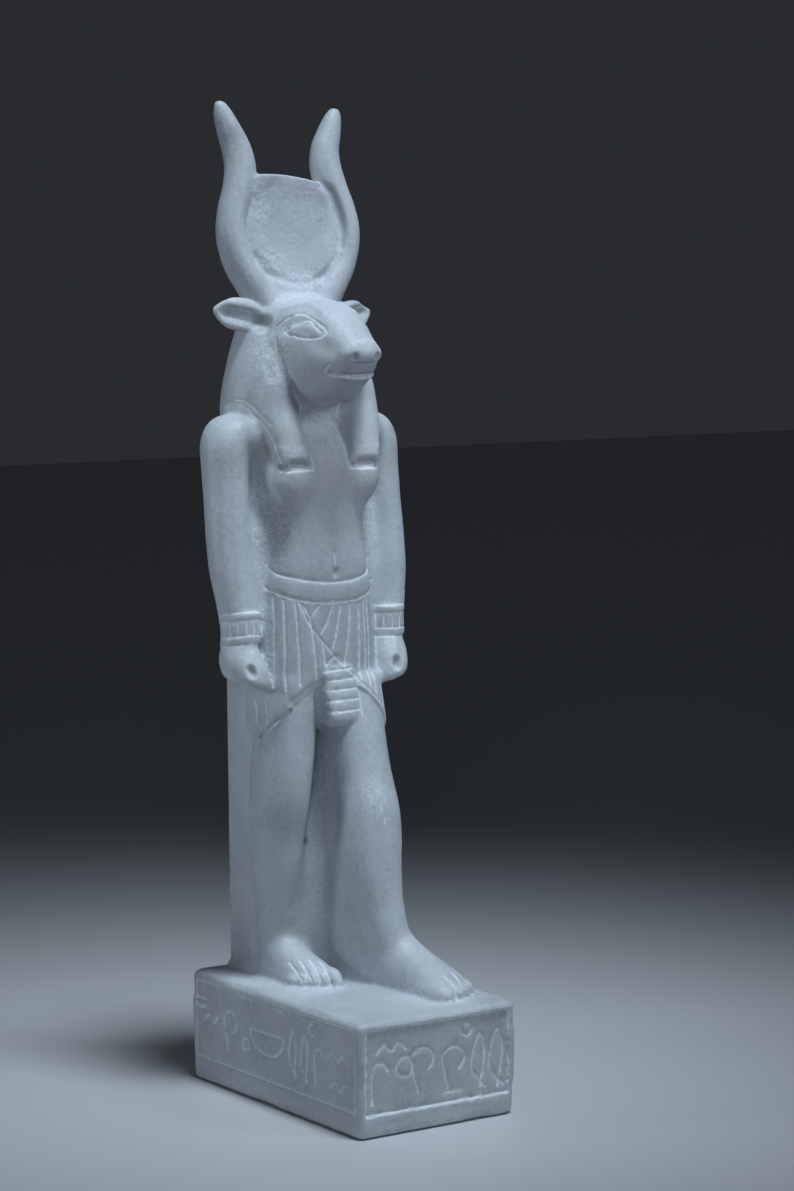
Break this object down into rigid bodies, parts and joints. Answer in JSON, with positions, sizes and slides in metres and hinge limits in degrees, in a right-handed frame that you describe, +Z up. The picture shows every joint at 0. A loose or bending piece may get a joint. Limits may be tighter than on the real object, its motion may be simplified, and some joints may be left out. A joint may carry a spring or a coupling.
{
  "type": "cow-headed goddess statuette",
  "caption": "Stone figure of a horned cow-headed goddess with a disc between the horns, in a pleated kilt, striding before a back pillar on an oblong plinth.",
  "frame": {"origin": "on the ground, under the middle of the plinth", "axes": "+Z up along the figure, the figure faces -Y, its own right hand is at -X"},
  "size_m": [0.0678, 0.096, 0.3022],
  "materials": {
    "stone": "smooth white alabaster with a soft satin gleam, chalky where it is cut or pecked"
  },
  "bodies": {
    "root": {"statue": "stone"}
  },
  "joints": []
}
